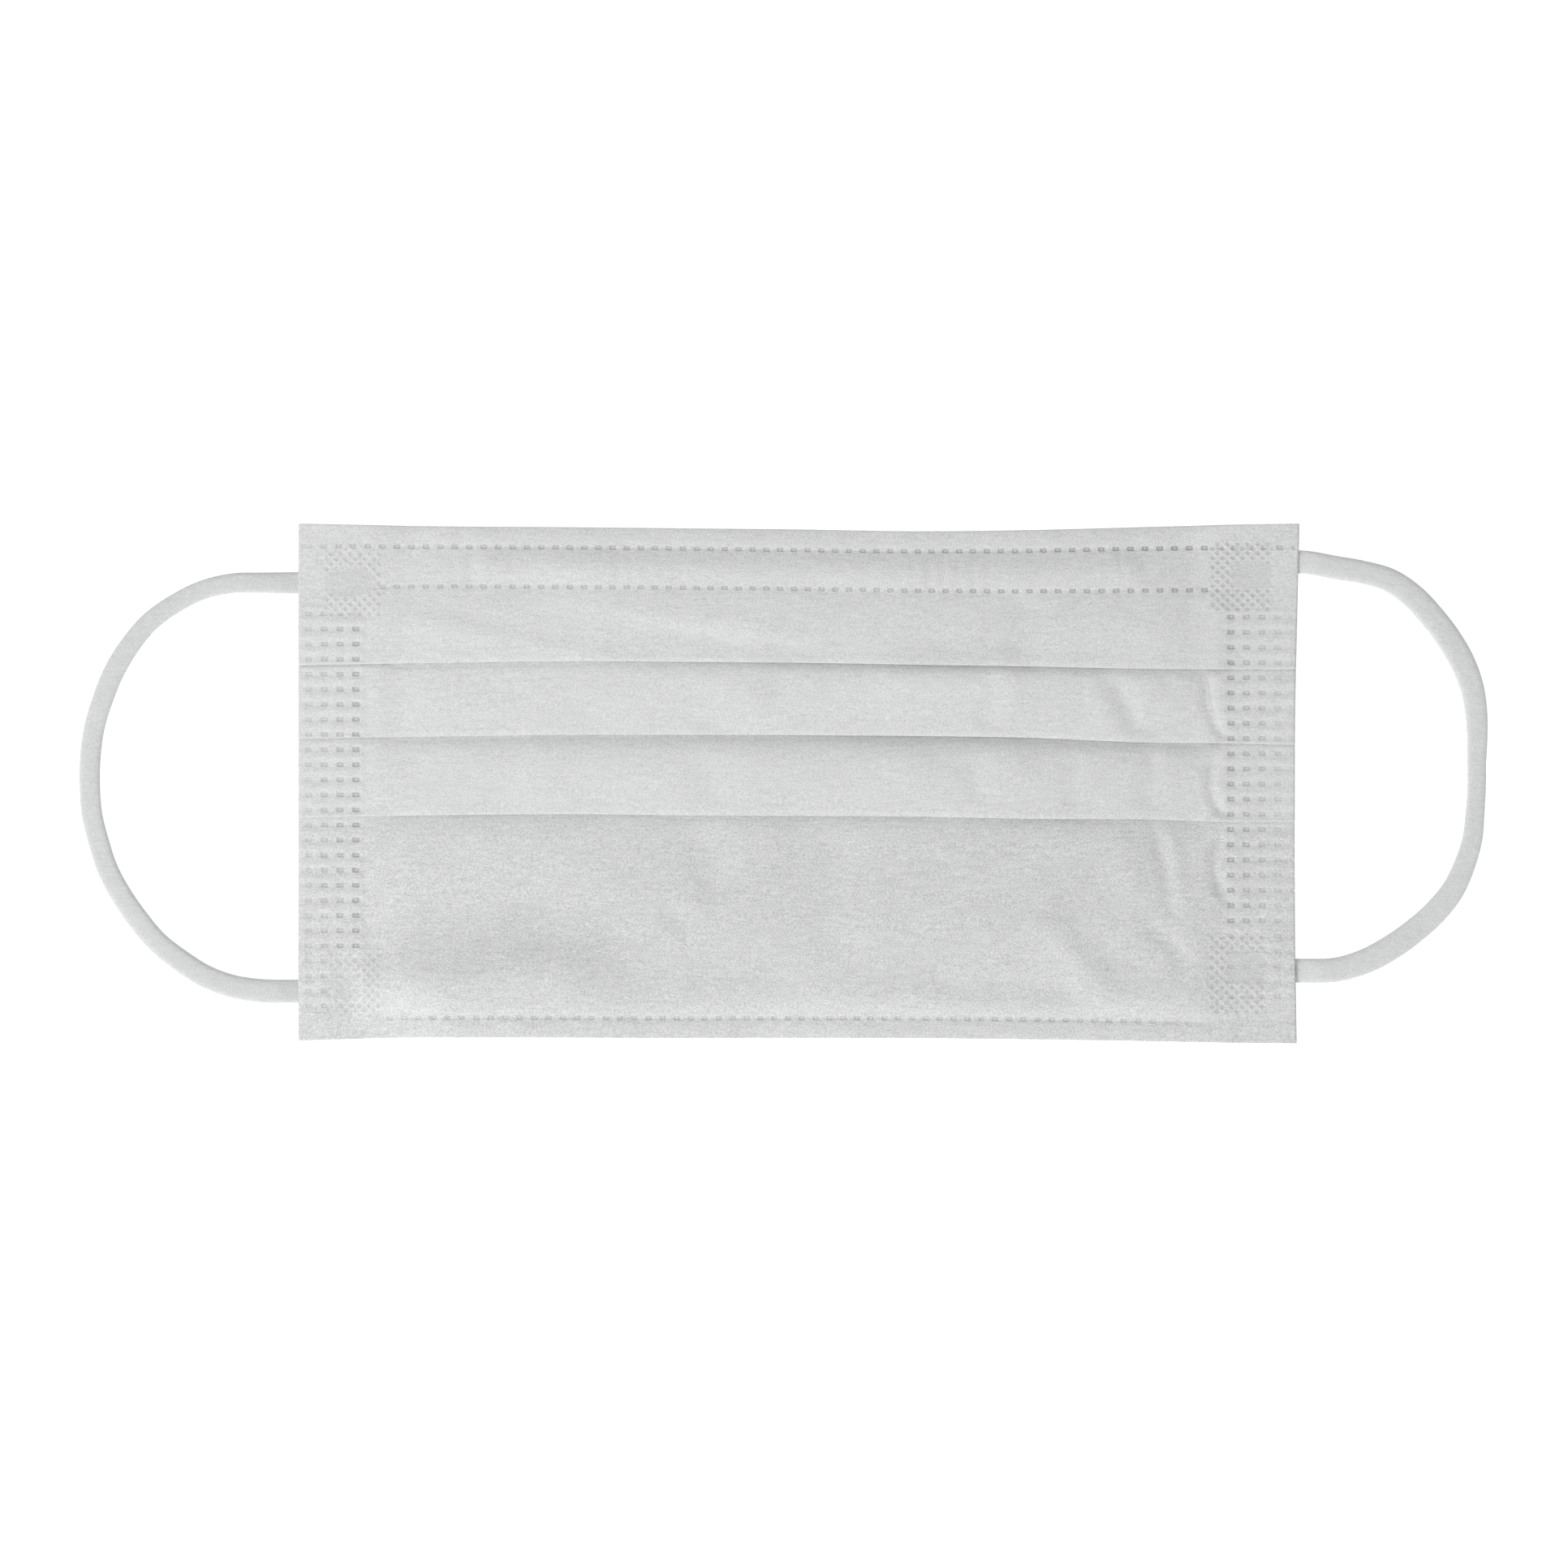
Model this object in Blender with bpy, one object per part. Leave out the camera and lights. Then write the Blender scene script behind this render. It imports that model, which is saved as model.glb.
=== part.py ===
"""A pleated surgical face mask lying flat, outer side up, with two soft ear loops.

Metres, +Z up. X runs along the mask, +Y towards the nose edge, Z = 0 is the surface it lies on, and the
origin is under the middle of the mask's body.
"""

import math
from collections import namedtuple

import bmesh
import bpy

MM = 0.001

# Body
BODY_LENGTH = 175.2 * MM
BODY_HEIGHT = 91.0 * MM
SHEET_THICKNESS = 1.0 * MM
LAYER_GAP = 0.3 * MM  # between two folded layers
WELDED_GAP = 0.05 * MM  # what the layers' spacing keeps where the side bands weld them together
OUTLINE_WAVE = 1.4 * MM  # how far the edges and folds stray from straight lines
RIGHT_EDGE_BOW = 0.8 * MM

# Pleats: how far below the top edge each front fold lies, and how deep a pleat goes behind it
FOLD_1_DROP = 24.9 * MM
FOLD_2_DROP = 37.7 * MM
FOLD_3_DROP = 51.7 * MM
PLEAT_DEPTH = 8.6 * MM
PANEL_PUFF = 0.4 * MM  # how far a panel stands off the pleat behind it, fading to its fold
LOWER_PANEL_PUFF = 1.6 * MM

# Hems
TOP_ROW_DROP = 4.3 * MM
CHANNEL_HEIGHT = 7.2 * MM  # between the two upper weld rows
TOP_FLAP_PAST_ROW = 1.1 * MM
BOTTOM_ROW_RISE = 4.4 * MM
BOTTOM_FLAP_PAST_ROW = 1.4 * MM

# Side bands
BAND_WIDTH = 10.6 * MM
LIFT_SPAN = 15.0 * MM  # how far inside the band the sheet starts to rise over the loop ends

# Nose wire
WIRE_LEFT_END = -56.5 * MM
WIRE_RIGHT_END = 60.0 * MM
WIRE_WIDTH = 3.0 * MM
WIRE_THICKNESS = 0.6 * MM
WIRE_CLEARANCE = 0.3 * MM
CHANNEL_SIDE_CLEARANCE = 0.5 * MM
CHANNEL_FADE = 9.0 * MM

# Ear loops
LOOP_WIDTH = 4.0 * MM
LOOP_THICKNESS = 1.4 * MM
LOOP_CLEARANCE = 0.3 * MM
LOOP_STEPS = 63

# Edge and fold lines: place as a share of half the body's length, then shifts as shares of OUTLINE_WAVE
LineRow = namedtuple("LineRow", "place top fold_1 fold_2 fold_3 bottom")
LINES = [
    LineRow(-1.00, 0.00, 0.00, 0.00, 0.04, 0.36),
    LineRow(-0.74, -0.30, 0.29, 0.21, 0.36, 0.79),
    LineRow(-0.46, -0.43, 0.50, 0.43, 0.50, 0.79),
    LineRow(-0.23, -0.57, 0.43, 0.43, 0.36, 0.67),
    LineRow(0.00, -0.71, 0.32, 0.39, 0.29, 0.67),
    LineRow(0.23, -0.93, 0.07, 0.29, 0.21, 0.64),
    LineRow(0.46, -0.79, -0.14, 0.07, -0.07, 0.50),
    LineRow(0.68, -0.43, -0.43, -0.50, -0.14, 0.29),
    LineRow(0.86, -0.14, -0.50, -0.64, -0.50, 0.07),
    LineRow(1.00, 0.00, -0.50, -0.82, -0.50, 0.00),
]

# Right edge: place as a share of the height below the top edge, hollow as a share of RIGHT_EDGE_BOW
EdgeRow = namedtuple("EdgeRow", "place hollow")
RIGHT_EDGE = [
    EdgeRow(0.0, 0.0),
    EdgeRow(0.25, 0.7),
    EdgeRow(0.4, 1.0),
    EdgeRow(0.8, 1.0),
    EdgeRow(1.0, 0.6),
]

# Lower panel: place as a share of the way from fold 3 to the bottom hem, height as a share of its puff
PanelRow = namedtuple("PanelRow", "place height")
LOWER_PANEL = [
    PanelRow(0.08, 0.25),
    PanelRow(0.17, 0.62),
    PanelRow(0.30, 0.95),
    PanelRow(0.45, 1.00),
    PanelRow(0.60, 0.95),
    PanelRow(0.75, 0.85),
    PanelRow(0.88, 0.80),
]

# Points across a pleat's layers and down a rising panel, as shares of the way
LAYER_SHARES = (0.0, 1 / 3, 2 / 3, 1.0)
RISE_SHARES = (0.2, 0.4, 0.6, 0.8)

# Sections along the body: shares of the way from the middle to the band, and across the band
MIDDLE_SECTIONS = [0.0, 0.16, 0.32, 0.48, 0.64, 0.80, 0.865, 0.935, 1.0]
BAND_SECTIONS = [0.5, 1.0]

# Ear loop routes in millimetres, from one weld to the other: outwards from the body's side edge, y,
# and the width there as a share of LOOP_WIDTH
LEFT_ROUTE = [
    (-11.6, 35.4, 0.98),
    (-5.0, 35.2, 0.98),
    (1.7, 35.1, 0.92),
    (6.7, 35.1, 0.88),
    (12.0, 35.0, 0.85),
    (17.2, 33.8, 0.83),
    (22.0, 31.4, 0.83),
    (26.3, 28.3, 0.85),
    (29.8, 24.2, 0.88),
    (32.6, 19.6, 0.90),
    (34.6, 14.7, 0.90),
    (36.1, 9.7, 0.89),
    (36.8, 4.6, 0.88),
    (36.9, -0.5, 0.88),
    (36.5, -5.6, 0.89),
    (35.3, -10.5, 0.90),
    (33.7, -15.3, 0.92),
    (31.3, -19.8, 0.93),
    (28.4, -24.0, 0.94),
    (25.1, -27.9, 0.95),
    (21.1, -31.1, 0.96),
    (16.7, -33.9, 0.97),
    (11.9, -35.7, 0.98),
    (6.8, -36.5, 1.00),
    (1.7, -36.6, 1.00),
    (-4.8, -36.4, 1.00),
    (-11.2, -36.2, 1.00),
]
RIGHT_ROUTE = [
    (-11.6, 37.3, 0.98),
    (-8.0, 38.1, 0.98),
    (-3.4, 38.8, 1.00),
    (1.5, 38.7, 1.00),
    (6.4, 37.8, 1.00),
    (11.2, 37.0, 1.00),
    (16.0, 35.6, 1.04),
    (20.1, 32.8, 1.08),
    (23.5, 29.2, 1.10),
    (26.4, 25.4, 1.10),
    (28.8, 21.3, 1.08),
    (30.5, 16.9, 1.04),
    (31.3, 12.4, 0.97),
    (31.5, 7.9, 0.88),
    (31.4, 3.5, 0.82),
    (31.4, -0.9, 0.80),
    (31.1, -5.4, 0.82),
    (30.6, -10.0, 0.88),
    (29.2, -14.6, 0.95),
    (27.1, -19.0, 1.00),
    (24.0, -22.8, 1.04),
    (20.3, -26.1, 1.07),
    (16.2, -29.0, 1.08),
    (11.6, -31.4, 1.08),
    (6.7, -32.8, 1.05),
    (1.6, -33.0, 1.02),
    (-5.0, -32.8, 1.00),
    (-11.4, -32.6, 1.00),
]

HALF_LENGTH = BODY_LENGTH / 2
HALF_HEIGHT = BODY_HEIGHT / 2
HALF_SHEET = SHEET_THICKNESS / 2
BAND_START = HALF_LENGTH - BAND_WIDTH
BAND_LIFT = LOOP_THICKNESS + LOOP_CLEARANCE
ARC_STEPS = 4


def smoothstep(share):
    """0 to 1 with level ends."""
    share = min(max(share, 0.0), 1.0)
    return share * share * (3 - 2 * share)


def between(low, high, share):
    return low + (high - low) * share


def read_table(rows, place, column):
    """A table's named column at a place, smooth through its rows."""
    place = min(max(place, rows[0].place), rows[-1].place)
    after = 1
    while rows[after].place < place:
        after += 1
    picked = (rows[max(after - 2, 0)], rows[after - 1], rows[after], rows[min(after + 1, len(rows) - 1)])
    before_x, near_x, far_x, beyond_x = (row.place for row in picked)
    before, near, far, beyond = (getattr(row, column) for row in picked)
    span = far_x - near_x
    t = (place - near_x) / span
    slope_near = (far - before) / (far_x - before_x) * span
    slope_far = (beyond - near) / (beyond_x - near_x) * span
    return (
        near * (2 * t**3 - 3 * t**2 + 1)
        + slope_near * (t**3 - 2 * t**2 + t)
        + far * (3 * t**2 - 2 * t**3)
        + slope_far * (t**3 - t**2)
    )


def line_y(x, line):
    """Where an edge or a fold line lies at x."""
    straight = {
        "top": HALF_HEIGHT,
        "fold_1": HALF_HEIGHT - FOLD_1_DROP,
        "fold_2": HALF_HEIGHT - FOLD_2_DROP,
        "fold_3": HALF_HEIGHT - FOLD_3_DROP,
        "bottom": -HALF_HEIGHT,
    }
    return straight[line] + OUTLINE_WAVE * read_table(LINES, x / HALF_LENGTH, line)


def layer_step(x):
    """Distance between the middles of two folded layers at x."""
    welded = smoothstep((abs(x) - BAND_START) / (BAND_WIDTH / 2))
    return SHEET_THICKNESS + between(LAYER_GAP, WELDED_GAP, welded)


def band_share(x):
    """0 in the soft middle of the body, rising to 1 at the side bands."""
    return smoothstep((abs(x) - BAND_START + LIFT_SPAN) / LIFT_SPAN)


def channel_bulge(x):
    """How far the top hem's front is pushed out over the wire at x."""
    past_left = (WIRE_LEFT_END - WIRE_CLEARANCE - x) / CHANNEL_FADE
    past_right = (x - WIRE_RIGHT_END - WIRE_CLEARANCE) / CHANNEL_FADE
    over_wire = 1 - smoothstep(max(past_left, past_right))
    return (WIRE_THICKNESS + 2 * WIRE_CLEARANCE - LAYER_GAP) * over_wire


class SheetPath:
    """The folded sheet's centreline at one x, from the top hem's flap to the bottom hem's flap.

    Each slit between layers is a run of points on one side of the sheet, the outer or the inner one.
    """

    def __init__(self, x):
        self.step = layer_step(x)
        self.low = HALF_SHEET + BAND_LIFT * band_share(x)
        self.puff = PANEL_PUFF * (1 - band_share(x))
        self.arc = self.step / 2
        self.points = []
        self.slits = []

    def level(self, number):
        return self.low + number * self.step

    def add(self, y, z):
        self.points.append((y, z))
        return len(self.points) - 1

    def turn(self, y, z, start_deg, end_deg):
        """The bend between two layers, without its two end points, about (y, z)."""
        for i in range(1, ARC_STEPS):
            angle = math.radians(between(start_deg, end_deg, i / ARC_STEPS))
            self.add(y + self.arc * math.cos(angle), z + self.arc * math.sin(angle))

    def top_hem(self, top, bulge):
        """The flap, the top edge and the panel's front down to the flap's end."""
        edge = top - self.arc - HALF_SHEET
        row = top - TOP_ROW_DROP
        middle = row - CHANNEL_HEIGHT / 2
        plateau = WIRE_WIDTH / 2 + CHANNEL_SIDE_CLEARANCE
        flap_end = row - CHANNEL_HEIGHT - TOP_FLAP_PAST_ROW
        places = [
            (flap_end, 0.0),
            (row - CHANNEL_HEIGHT, 0.0),
            (middle - plateau, 1.0),
            (middle, 1.0),
            (middle + plateau, 1.0),
            (row, 0.0),
            (edge, 0.0),
        ]
        for y, _ in places:
            self.add(y, self.level(0))
        self.turn(edge, self.level(0.5), -90, 90)
        for y, share in reversed(places):
            last = self.add(y, self.level(1) + bulge * share)
        self.slits.append(("inner", 0, last))

    def rising_panel(self, next_back):
        """A panel's run from where it last lay on the surface or a flap to the top of the next pleat."""
        start_y, start_z = self.points[-1]
        end_y = next_back - self.arc - HALF_SHEET
        end_z = self.level(2) + self.puff
        for share in RISE_SHARES:
            self.add(between(start_y, end_y, share), between(start_z, end_z, smoothstep(share)))

    def pleat(self, front, back):
        """The panel above over the pleat, its front fold, the return, the back fold, the panel below."""
        near = front + self.arc + HALF_SHEET
        far = back - self.arc - HALF_SHEET
        over = []
        for s in LAYER_SHARES:
            stand_off = self.puff * (1 - smoothstep(s))
            over.append(self.add(between(far, near, s), self.level(2) + stand_off))
        self.turn(near, self.level(1.5), 90, 270)
        back_run = [self.add(between(near, far, s), self.level(1)) for s in LAYER_SHARES]
        self.turn(far, self.level(0.5), 90, -90)
        under = [self.add(between(far, near, s), self.level(0)) for s in LAYER_SHARES]
        self.slits.append(("inner", over[0], back_run[-1]))
        self.slits.append(("outer", back_run[0], under[-1]))

    def lower_panel(self, bottom):
        """The last panel, its hem and the hem's flap."""
        start = self.points[-1][0]
        row = bottom + BOTTOM_ROW_RISE
        flap_end = row + BOTTOM_FLAP_PAST_ROW
        edge = bottom + self.arc + HALF_SHEET
        for place, height in LOWER_PANEL:
            y = between(start, flap_end, place)
            self.add(y, self.level(0) + LOWER_PANEL_PUFF * height)
        first = self.add(flap_end, self.level(1))
        self.add(row, self.level(1))
        self.add(edge, self.level(1))
        self.turn(edge, self.level(0.5), 90, 270)
        for y in (edge, row, flap_end):
            last = self.add(y, self.level(0))
        self.slits.append(("inner", first, last))


def sheet_path(x):
    """The whole folded centreline at x."""
    fold_1 = line_y(x, "fold_1")
    fold_2 = line_y(x, "fold_2")
    fold_3 = line_y(x, "fold_3")
    path = SheetPath(x)
    path.top_hem(line_y(x, "top"), channel_bulge(x))
    path.rising_panel(fold_1 + PLEAT_DEPTH)
    path.pleat(fold_1, fold_1 + PLEAT_DEPTH)
    path.rising_panel(fold_2 + PLEAT_DEPTH)
    path.pleat(fold_2, fold_2 + PLEAT_DEPTH)
    path.rising_panel(fold_3 + PLEAT_DEPTH)
    path.pleat(fold_3, fold_3 + PLEAT_DEPTH)
    path.lower_panel(line_y(x, "bottom"))
    return path


def sheet_sides(points):
    """The sheet's outer and inner faces, half its thickness to each side of the centreline."""
    outer, inner = [], []
    last = len(points) - 1
    for i, (y, z) in enumerate(points):
        before = points[max(i - 1, 0)]
        after = points[min(i + 1, last)]
        along_y, along_z = after[0] - before[0], after[1] - before[1]
        length = math.hypot(along_y, along_z)
        side_y, side_z = along_z / length * HALF_SHEET, -along_y / length * HALF_SHEET
        outer.append((y + side_y, z + side_z))
        inner.append((y - side_y, z - side_z))
    return outer, inner


def edge_shift(x, y):
    """The right edge is slightly hollow between its corners."""
    if x <= BAND_START:
        return 0.0
    below_top = (HALF_HEIGHT - y) / BODY_HEIGHT
    return -RIGHT_EDGE_BOW * read_table(RIGHT_EDGE, below_top, "hollow") * (x - BAND_START) / BAND_WIDTH


class SheetSection:
    """The sheet's closed outline at one x: the outer face, then the inner face back to the start."""

    def __init__(self, mesh, x, welded):
        path = sheet_path(x)
        outer, inner = sheet_sides(path.points)
        count = len(path.points)
        ring = outer + inner[::-1]
        inside = set()
        self.slit_runs = []
        for side, first, last in path.slits:
            run = list(range(first, last + 1))
            if side == "inner":
                run = [2 * count - 1 - i for i in reversed(run)]
            self.slit_runs.append(run)
            inside.update(run[1:-1])
        self.kept = [i for i in range(2 * count) if i not in inside]
        made = self.kept if welded else range(2 * count)
        self.verts = {i: mesh.verts.new((x + edge_shift(x, ring[i][0]), *ring[i])) for i in made}


def bridge(mesh, near, far, order):
    """Quads between two sections over the outline points that both have."""
    for i, j in zip(order, order[1:] + order[:1]):
        mesh.faces.new((near.verts[i], near.verts[j], far.verts[j], far.verts[i]))


def section_places():
    """The x of every section from the left edge to the right, and whether its slits are welded shut."""
    right = [(BAND_START * share, False) for share in MIDDLE_SECTIONS]
    right += [(BAND_START + BAND_WIDTH * share, True) for share in BAND_SECTIONS]
    left = [(-x, welded) for x, welded in reversed(right[1:])]
    return left + right


def make_mask_body(collection, material):
    mesh = bmesh.new()
    sections = [(SheetSection(mesh, x, welded), welded) for x, welded in section_places()]
    for (near, near_welded), (far, far_welded) in zip(sections, sections[1:]):
        if near_welded or far_welded:
            bridge(mesh, near, far, near.kept)
        else:
            bridge(mesh, near, far, sorted(near.verts))
        if near_welded != far_welded:
            open_end = far if near_welded else near
            for run in open_end.slit_runs:
                mesh.faces.new([open_end.verts[i] for i in run])
    for section in (sections[0][0], sections[-1][0]):
        mesh.faces.new([section.verts[i] for i in section.kept])
    return finish_mesh(mesh, "mask_body", collection, material)


def make_nose_wire(collection, material):
    """A flat strip that follows the channel between the two upper weld rows."""
    mesh = bmesh.new()
    bottom = SHEET_THICKNESS + WIRE_CLEARANCE
    top = bottom + WIRE_THICKNESS
    channel_drop = TOP_ROW_DROP + CHANNEL_HEIGHT / 2
    places = [WIRE_LEFT_END]
    places += [x for x, _ in section_places() if WIRE_LEFT_END < x < WIRE_RIGHT_END]
    places += [WIRE_RIGHT_END]
    rings = []
    for x in places:
        middle = line_y(x, "top") - channel_drop
        low, high = middle - WIRE_WIDTH / 2, middle + WIRE_WIDTH / 2
        corners = [(low, bottom), (high, bottom), (high, top), (low, top)]
        rings.append([mesh.verts.new((x, y, z)) for y, z in corners])
    for near, far in zip(rings, rings[1:]):
        for i in range(4):
            j = (i + 1) % 4
            mesh.faces.new((near[i], near[j], far[j], far[i]))
    mesh.faces.new(rings[0])
    mesh.faces.new(rings[-1])
    return finish_mesh(mesh, "nose_wire", collection, material)


def finish_mesh(mesh, name, collection, material):
    """Triangles facing outwards, as an object of its own."""
    bmesh.ops.recalc_face_normals(mesh, faces=mesh.faces)
    bmesh.ops.triangulate(mesh, faces=mesh.faces, quad_method="SHORT_EDGE", ngon_method="EAR_CLIP")
    data = bpy.data.meshes.new(name)
    mesh.to_mesh(data)
    mesh.free()
    data.materials.append(material)
    made = bpy.data.objects.new(name, data)
    collection.objects.link(made)
    return made


def route_points(route, steps):
    """Evenly spaced (out, y, width share) along one smooth curve through the route's points."""
    dense = []
    pieces = 12
    for i in range(len(route) - 1):
        before = route[max(i - 1, 0)]
        near, far = route[i], route[i + 1]
        beyond = route[min(i + 2, len(route) - 1)]
        for k in range(pieces):
            t = k / pieces
            dense.append(
                tuple(
                    0.5
                    * (
                        2 * near[c]
                        + (far[c] - before[c]) * t
                        + (2 * before[c] - 5 * near[c] + 4 * far[c] - beyond[c]) * t**2
                        + (3 * near[c] - before[c] - 3 * far[c] + beyond[c]) * t**3
                    )
                    for c in range(3)
                )
            )
    dense.append(route[-1])
    run = [0.0]
    for a, b in zip(dense, dense[1:]):
        run.append(run[-1] + math.dist(a[:2], b[:2]))
    points = []
    k = 1
    for i in range(steps + 1):
        wanted = run[-1] * i / steps
        while k < len(run) - 1 and run[k] < wanted:
            k += 1
        share = (wanted - run[k - 1]) / (run[k] - run[k - 1])
        points.append(tuple(between(a, b, share) for a, b in zip(dense[k - 1], dense[k])))
    return points


def make_ear_loop(name, side, route, collection, material):
    """A soft oval tube that lies on the surface, squashed from a round one by its object's scale."""
    squash = LOOP_THICKNESS / LOOP_WIDTH
    curve = bpy.data.curves.new(name, "CURVE")
    curve.dimensions = "3D"
    curve.bevel_depth = LOOP_WIDTH / 2
    curve.bevel_resolution = 3
    curve.use_fill_caps = True
    spline = curve.splines.new("POLY")
    points = route_points(route, LOOP_STEPS)
    spline.points.add(len(points) - 1)
    for point, (out, y, share) in zip(spline.points, points):
        x = side * (HALF_LENGTH + out * MM)
        point.co = (x, y * MM, LOOP_WIDTH / 2 * share, 1.0)
        point.radius = share
    curve.materials.append(material)
    loop = bpy.data.objects.new(name, curve)
    loop.scale = (1.0, 1.0, squash)
    collection.objects.link(loop)
    return loop


def plain_material(name, color, roughness):
    material = bpy.data.materials.new(name)
    material.use_nodes = True
    shader = material.node_tree.nodes["Principled BSDF"]
    shader.inputs["Base Color"].default_value = (*color, 1.0)
    shader.inputs["Roughness"].default_value = roughness
    shader.inputs["Metallic"].default_value = 0.0
    return material


def main():
    for old in list(bpy.data.objects):
        bpy.data.objects.remove(old, do_unlink=True)
    collection = bpy.data.collections.new("surgical_face_mask")
    bpy.context.scene.collection.children.link(collection)
    nonwoven = plain_material("nonwoven_sheet", (0.66, 0.67, 0.66), 0.9)
    wire = plain_material("wire_coating", (0.78, 0.78, 0.77), 0.5)
    elastic = plain_material("loop_elastic", (0.68, 0.69, 0.68), 0.85)
    make_mask_body(collection, nonwoven)
    make_nose_wire(collection, wire)
    make_ear_loop("ear_loop_left", -1, LEFT_ROUTE, collection, elastic)
    make_ear_loop("ear_loop_right", 1, RIGHT_ROUTE, collection, elastic)


main()
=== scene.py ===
"""Looks of a pleated surgical face mask that lies flat, outer side up, on a pale floor."""

import math

import bmesh
import bpy
import numpy as np
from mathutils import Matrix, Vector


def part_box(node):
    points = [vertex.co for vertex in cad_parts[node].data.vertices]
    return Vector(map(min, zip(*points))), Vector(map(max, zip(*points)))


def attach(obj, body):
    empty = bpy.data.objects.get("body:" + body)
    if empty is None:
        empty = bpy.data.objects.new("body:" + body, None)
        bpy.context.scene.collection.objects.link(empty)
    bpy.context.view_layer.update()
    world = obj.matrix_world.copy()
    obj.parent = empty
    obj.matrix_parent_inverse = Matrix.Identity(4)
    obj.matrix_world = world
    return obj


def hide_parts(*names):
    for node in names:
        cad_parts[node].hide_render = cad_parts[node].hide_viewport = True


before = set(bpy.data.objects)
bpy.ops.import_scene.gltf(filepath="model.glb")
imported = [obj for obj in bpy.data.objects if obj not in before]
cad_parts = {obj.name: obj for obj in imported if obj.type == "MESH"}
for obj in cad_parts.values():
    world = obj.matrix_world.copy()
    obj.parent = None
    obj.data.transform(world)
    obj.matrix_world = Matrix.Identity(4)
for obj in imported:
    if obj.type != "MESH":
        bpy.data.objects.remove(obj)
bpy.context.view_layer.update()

MM = 0.001

# Camera: straight above, as in the photo
VIEW_WIDTH = 274.8  # mm of the object's plane across the frame
VIEW_MIDDLE = (-2.6, -0.2)
LENS = 100.0
SENSOR = 36.0

# Light: an even sky, a broad soft key from the lower edge, a nearer soft lamp on the left, and a
# floor that stays white under the piece
SKY = 0.60
KEY_FROM = (-0.35, -0.76, 0.70)
KEY_ANGLE = 0.6
KEY_STRENGTH = 1.30
LAMP_PLACE = (-0.43, -0.22, 0.49)
LAMP_SIZE = 0.34
LAMP_POWER = 1.75
FLOOR_GLOW = 0.5

# Sizes of the folded sheet in mm, with the outline taken from the frame
body_low, body_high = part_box("mask_body")
HALF_LENGTH = body_high.x / MM
HALF_HEIGHT = body_high.y / MM
CLOTH = 0.24
BAND_CLOTH = 0.15
HEM_STEP = 0.28
BAND_STEP = 0.18
FOLD_SHARPNESS = 0.3
# The sheet is drawn about 3 % darker below the third fold.
LOWER_SHEET_TONE = 0.972
SINGLE_LAYER_GRAIN = 1.4
OUTLINE_WAVE = 1.4
RIGHT_EDGE_BOW = 0.8
FOLD_1_DROP = 24.9
FOLD_2_DROP = 37.7
FOLD_3_DROP = 51.7
PLEAT_DEPTH = 8.6
PUFF = 0.12
LOWER_PUFF = 1.0
TOP_HEM_PUFF = 0.14
BOTTOM_HEM_PUFF = 0.16
FIRST_ROW_DROP = 4.0
SECOND_ROW_DROP = 11.0
TOP_FLAP = 12.0
BOTTOM_ROW_RISE = 3.58
BOTTOM_FLAP = 4.8
BAND_WIDTH = 10.6
EDGE_REACH = 0.24
BAND_START = HALF_LENGTH - BAND_WIDTH
LIFT_SPAN = 9.0
SWELL_SPAN = 17.0
BAND_LIFT = 0.75

# Nose wire in mm
WIRE_LEFT_END = -56.5
WIRE_RIGHT_END = 60.0
WIRE_WIDTH = 3.2
WIRE_THICKNESS = 0.5
WIRE_MIDDLE_DROP = 7.3
CHANNEL_RISE = 0.42
CHANNEL_PUFF = 0.20

# Ear loops in mm
LOOP_WIDTH = 4.1
LOOP_THICKNESS = 1.4
WELDED_SHARE = 0.56

# Weld marks in mm, with the marks' own sizes as shares of the pitch
DASH_PITCH = 2.54
DASH_HALF = (0.215, 0.14)
DOT_HALF = (0.27, 0.27)
DASH_DEPTH = 0.11
DOT_DEPTH = 0.10
OVAL_DEPTH = 0.07
RIDGE_HEIGHT = 0.13
GATHER_HEIGHT = 0.07
WAVE_HEIGHT = 0.07
ROW_3_SHIFT = 1.4

# Edge and fold lines: place as a share of half the length, shifts as shares of OUTLINE_WAVE
LINES = {
    "place": (-1.0, -0.74, -0.46, -0.23, 0.0, 0.23, 0.46, 0.68, 0.86, 1.0),
    "top": (0.0, -0.30, -0.43, -0.57, -0.71, -0.93, -0.79, -0.43, -0.14, 0.0),
    "row_1": (0.05, 0.0, -0.10, -0.24, -0.44, -0.58, -0.51, -0.27, -0.14, -0.14),
    "row_2": (-0.18, 0.0, -0.08, -0.18, -0.33, -0.55, -0.63, -0.56, -0.44, -0.44),
    "fold_1": (0.0, 0.29, 0.50, 0.43, 0.32, 0.07, -0.14, -0.43, -0.50, -0.50),
    "fold_2": (0.0, 0.21, 0.43, 0.43, 0.39, 0.29, 0.07, -0.50, -0.64, -0.82),
    "fold_3": (0.04, 0.36, 0.50, 0.36, 0.29, 0.21, -0.07, -0.14, -0.50, -0.50),
    "bottom": (0.16, 0.59, 0.59, 0.48, 0.48, 0.45, 0.31, 0.10, -0.12, -0.19),
}
# Weld dashes along the hems: place in mm, number of dashes up to it
DASH_COUNT = {
    "place": (-85.8, -60.3, -35.1, -10.5, 13.7, 38.0, 63.4, 87.1),
    "count": (0, 10, 20, 30, 40, 50, 60, 69),
}
# How strongly the dashes along the hems are pressed in: place as a share of half the length
DASH_STRENGTH = {
    "place": (-1.0, -0.9, 0.0, 0.5, 0.75, 0.9, 1.0),
    "share": (0.3, 0.7, 0.85, 1.1, 1.3, 1.2, 0.7),
}
# How far one folded layer lies above the next
LAYER_STEP = {"place": (-1.0, -0.5, 0.0, 0.25, 1.0), "mm": (0.31, 0.33, 0.39, 0.41, 0.40)}
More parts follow.
